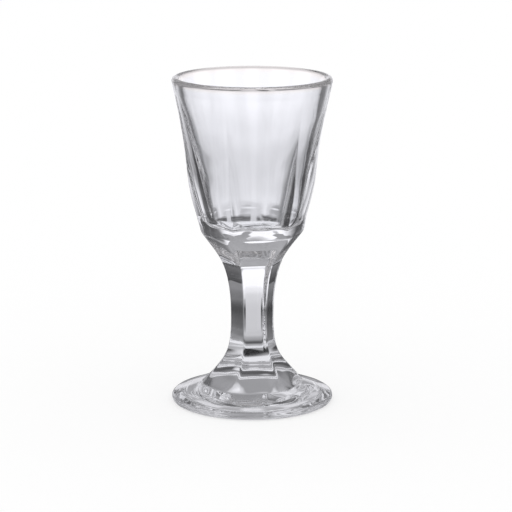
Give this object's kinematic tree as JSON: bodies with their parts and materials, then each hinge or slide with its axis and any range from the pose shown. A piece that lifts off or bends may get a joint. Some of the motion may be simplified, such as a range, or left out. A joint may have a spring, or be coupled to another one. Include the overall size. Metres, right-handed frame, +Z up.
{
  "type": "cordial glass",
  "caption": "Small stemmed drinking glass in clear pressed glass, with a panelled conical bowl, a panelled stem and a round foot.",
  "frame": {"origin": "centre of the foot, on the surface that the glass stands on", "axes": "+Z up along the axis of the bowl and stem, -Y towards the viewer of the picture, +X to the viewer's right"},
  "size_m": [0.048, 0.048, 0.097],
  "materials": {
    "clear_glass": "clear colourless pressed glass, fire polished"
  },
  "bodies": {
    "root": {"bowl": "clear_glass", "stem": "clear_glass", "foot": "clear_glass"}
  },
  "joints": []
}
